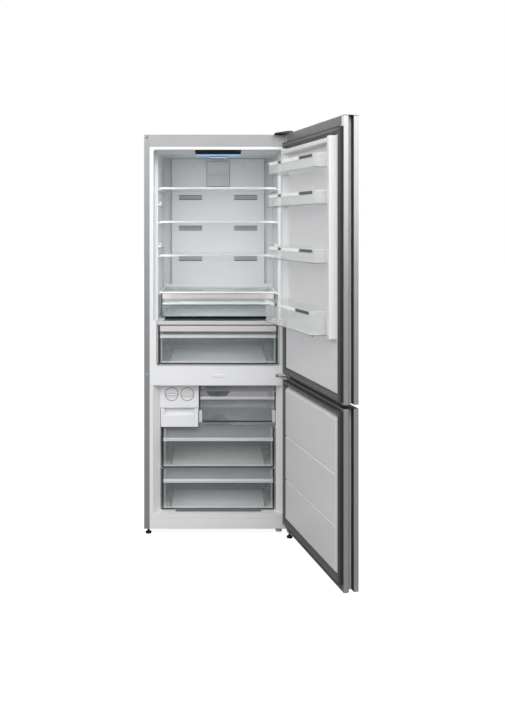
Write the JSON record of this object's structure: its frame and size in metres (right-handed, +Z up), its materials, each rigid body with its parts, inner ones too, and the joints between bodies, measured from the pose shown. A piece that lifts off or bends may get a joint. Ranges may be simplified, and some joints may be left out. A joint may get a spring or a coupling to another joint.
{
  "type": "refrigerator with bottom freezer",
  "caption": "Upright refrigerator over a freezer, with right-hinged doors, glass shelves, door bins, clear drawers and a twist ice maker.",
  "frame": {"origin": "on the axis of the door hinges at floor level, the middle of the pad of the front right foot, which stands under the bottom hinge", "axes": "+X to the right as seen from the front, +Y to the back, +Z up"},
  "size_m": [0.8963, 1.3121, 1.905],
  "materials": {
    "silver_case": "satin",
    "zinc_sheet": "satin",
    "silver_trim": "satin",
    "white_liner": "satin",
    "foam": "matte",
    "white_plastic": "satin",
    "clear_plastic": "clear",
    "smoked_plastic": "clear",
    "pane": "clear",
    "dark_steel": "satin",
    "hinge_steel": "satin",
    "grey_plastic": "satin",
    "dark_plastic": "satin",
    "black_panel": "gloss",
    "lamp": "satin",
    "compressor_black": "satin",
    "copper": "satin",
    "fin_aluminium": "satin",
    "bar_aluminium": "satin",
    "rail_chrome": "polished",
    "foot_rubber": "matte",
    "seal_rubber": "matte",
    "cap_plastic": "satin",
    "door_steel": "brushed",
    "screw_steel": "satin"
  },
  "bodies": {
    "cabinet": {"outer_case": "silver_case", "rear_panel": "zinc_sheet", "top_trim": "silver_trim", "upper_liner": "white_liner", "lower_liner": "white_liner", "cabinet_foam": "foam", "mullion_cover": "white_plastic", "plinth": "white_plastic", "base_plate": "zinc_sheet", "compressor": "compressor_black", "drip_pan": "dark_plastic", "condenser_tube": "copper", "evaporator": "fin_aluminium", "freezer_rear_cover": "white_plastic", "fan_motor": "dark_plastic", "duct_cover": "white_liner", "filter_box": "grey_plastic", "control_panel": "black_panel", "lamp_cover": "lamp", "shelf_panes": "pane", "shelf_trims": "white_plastic", "chiller_cover_frame": "white_plastic", "chiller_cover_glass": "pane", "crisper_shelf_frame": "white_plastic", "crisper_shelf_glass": "pane", "freezer_shelf": "smoked_plastic", "top_hinge": "dark_steel", "hinge_cover": "grey_plastic", "middle_hinge": "hinge_steel", "bottom_hinge": "hinge_steel", "hinge_screws": "screw_steel", "front_feet": "foot_rubber", "power_gland": "foot_rubber", "ice_maker_housing": "white_plastic"},
    "upper_door": {"upper_door_skin": "door_steel", "upper_door_caps": "cap_plastic", "upper_door_foam": "foam", "upper_door_liner": "white_liner", "upper_door_seal": "seal_rubber", "door_bins": "clear_plastic", "bottle_bin": "clear_plastic", "bin_rails": "rail_chrome"},
    "lower_door": {"lower_door_skin": "door_steel", "lower_door_caps": "cap_plastic", "lower_door_foam": "foam", "lower_door_liner": "white_liner", "lower_door_seal": "seal_rubber"},
    "chiller": {"chiller_drawer": "clear_plastic", "chiller_handle": "bar_aluminium"},
    "crisper": {"crisper_drawer": "clear_plastic", "crisper_handle": "bar_aluminium"},
    "middle_drawer": {"middle_freezer_drawer": "smoked_plastic"},
    "bottom_drawer": {"bottom_freezer_drawer": "smoked_plastic"},
    "flap": {"freezer_flap": "smoked_plastic"},
    "left_knob": {"ice_knob_left": "white_plastic"},
    "right_knob": {"ice_knob_right": "white_plastic"},
    "ice_box": {"ice_bin": "white_plastic"},
    "fan": {"fan_rotor": "white_plastic"},
    "left_roller": {"rear_roller_left": "dark_plastic"},
    "right_roller": {"rear_roller_right": "dark_plastic"}
  },
  "joints": [
    {"name": "upper_door_hinge", "type": "hinge", "parent": "cabinet", "child": "upper_door", "pos_m": [0, 0, 0], "axis": [0, 0, 1], "range_deg": [-104, 26]},
    {"name": "lower_door_hinge", "type": "hinge", "parent": "cabinet", "child": "lower_door", "pos_m": [0, 0, 0], "axis": [0, 0, 1], "range_deg": [-104, 26]},
    {"name": "chiller_slide", "type": "slide", "parent": "cabinet", "child": "chiller", "axis": [0, -1, 0], "range_m": [0, 0.2]},
    {"name": "crisper_slide", "type": "slide", "parent": "cabinet", "child": "crisper", "axis": [0, -1, 0], "range_m": [0, 0.35]},
    {"name": "middle_drawer_slide", "type": "slide", "parent": "cabinet", "child": "middle_drawer", "axis": [0, -1, 0], "range_m": [0, 0.28]},
    {"name": "bottom_drawer_slide", "type": "slide", "parent": "cabinet", "child": "bottom_drawer", "axis": [0, -1, 0], "range_m": [0, 0.19]},
    {"name": "flap_hinge", "type": "hinge", "parent": "cabinet", "child": "flap", "pos_m": [-0.2425, 0.09, 0.516], "axis": [1, 0, 0], "range_deg": [0, 85]},
    {"name": "left_knob_turn", "type": "hinge", "parent": "cabinet", "child": "left_knob", "pos_m": [-0.55675, 0.1, 0.656], "axis": [0, 1, 0], "range_deg": [0, 90], "stiffness_Nm_per_rad": 0.15},
    {"name": "right_knob_turn", "type": "hinge", "parent": "cabinet", "child": "right_knob", "pos_m": [-0.48225, 0.1, 0.656], "axis": [0, 1, 0], "range_deg": [0, 90], "stiffness_Nm_per_rad": 0.15},
    {"name": "ice_bin_slide", "type": "slide", "parent": "cabinet", "child": "ice_box", "axis": [0, -1, 0], "range_m": [0, 0.15]},
    {"name": "fan_spin", "type": "hinge", "parent": "cabinet", "child": "fan", "pos_m": [-0.335, 0.499, 0.618], "axis": [0, 1, 0], "continuous": true},
    {"name": "left_roller_spin", "type": "hinge", "parent": "cabinet", "child": "left_roller", "pos_m": [-0.645, 0.593, 0.0125], "axis": [1, 0, 0], "continuous": true},
    {"name": "right_roller_spin", "type": "hinge", "parent": "cabinet", "child": "right_roller", "pos_m": [-0.025, 0.593, 0.0125], "axis": [1, 0, 0], "continuous": true}
  ]
}
